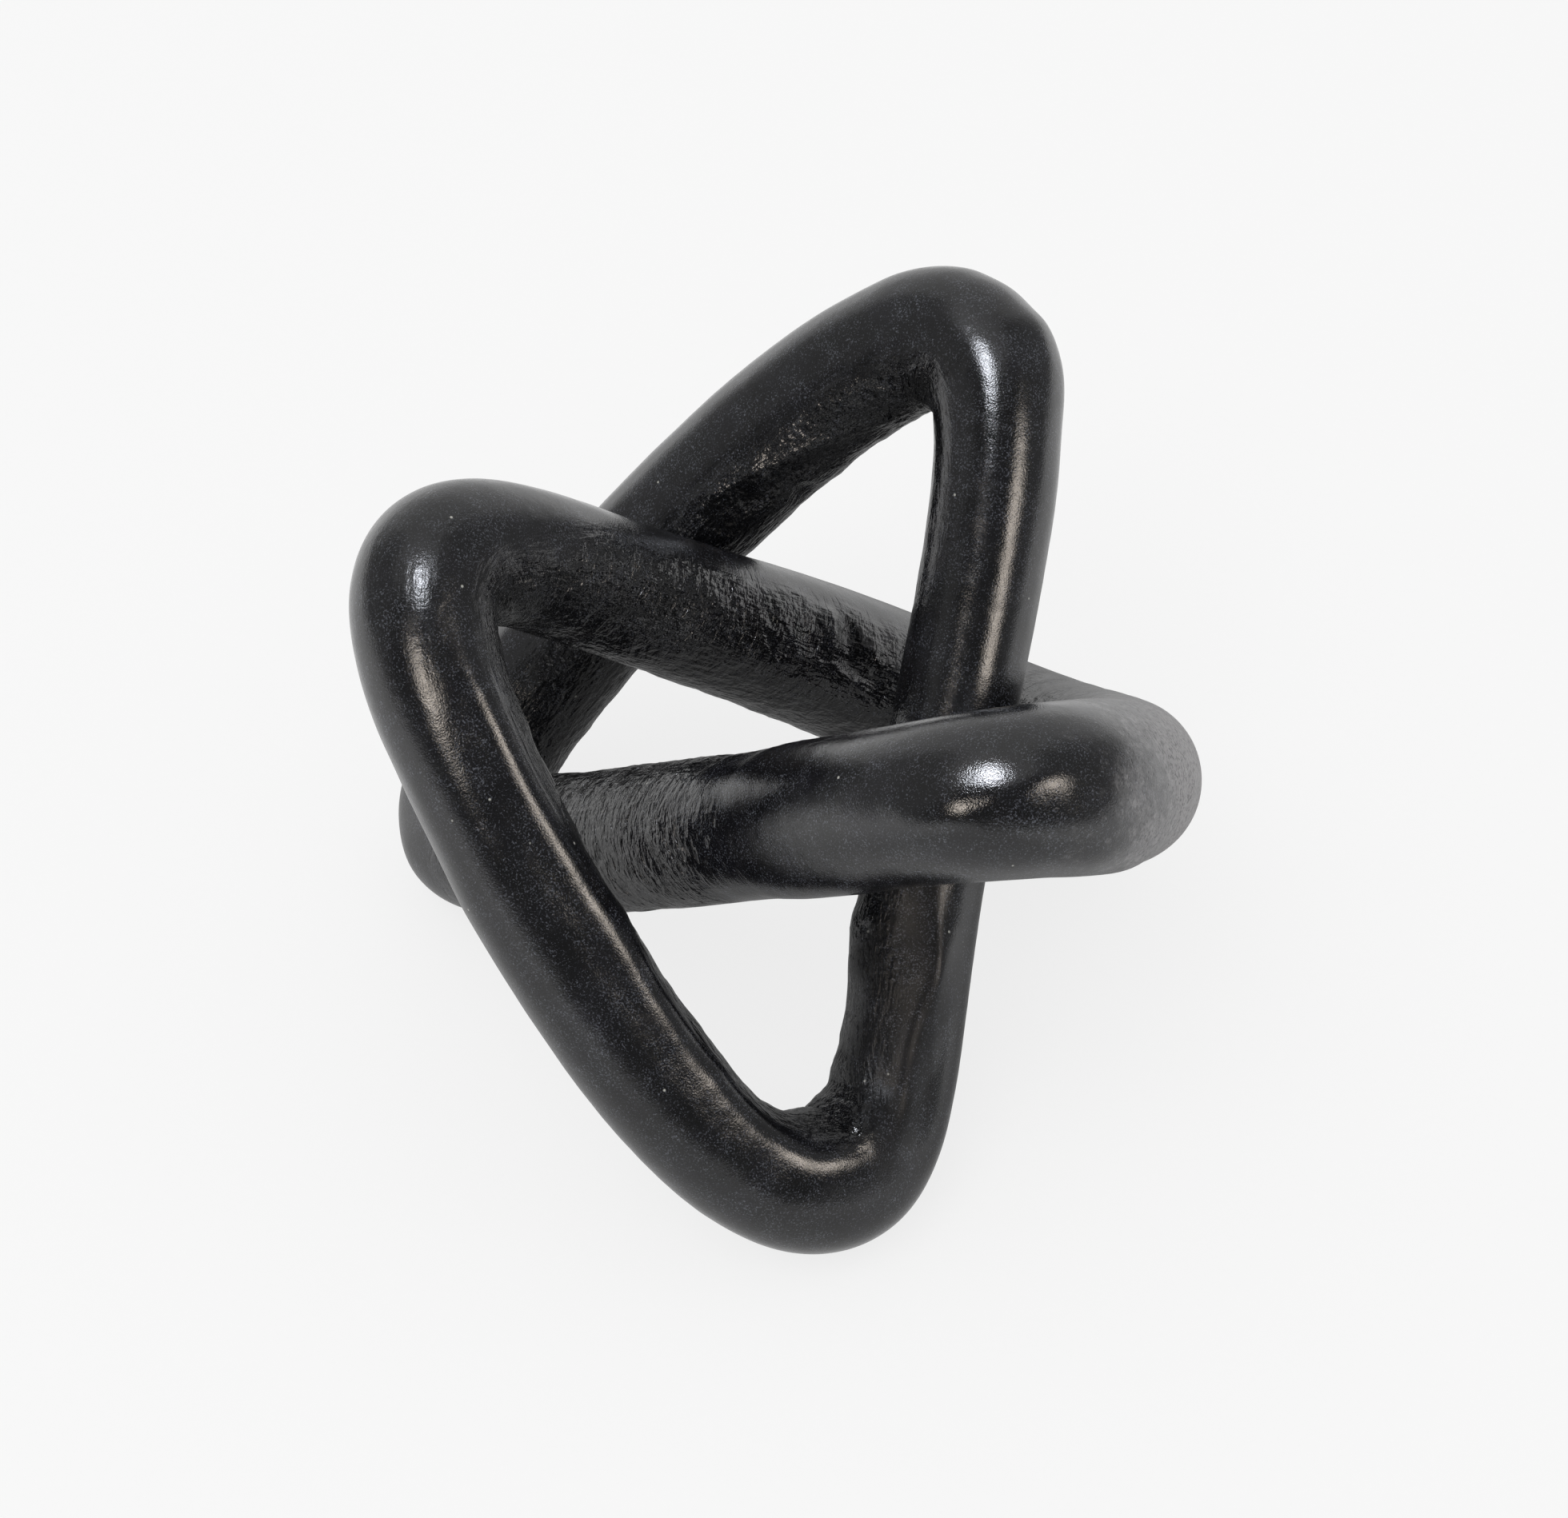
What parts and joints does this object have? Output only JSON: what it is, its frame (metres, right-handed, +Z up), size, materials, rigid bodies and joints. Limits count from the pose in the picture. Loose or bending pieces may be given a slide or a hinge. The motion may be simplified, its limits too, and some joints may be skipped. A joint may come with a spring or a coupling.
{
  "type": "knot sculpture",
  "caption": "Ornament carved from black marble: one endless round rope of stone tied as a trefoil knot, resting on small felt pads.",
  "frame": {"origin": "centre of the bounding box, on the plane that the felt pads stand on", "axes": "+Z up; the pictured side faces -Y; +X to the right in the picture"},
  "size_m": [0.132, 0.1366, 0.1051],
  "materials": {
    "black_marble": "honed and waxed black marble, satin on the outer sides, left rougher on the inner sides",
    "black_felt": "pressed felt"
  },
  "bodies": {
    "root": {"marble_knot": "black_marble", "pad_foot_front": "black_felt", "pad_foot_left": "black_felt", "pad_foot_right": "black_felt"}
  },
  "joints": []
}
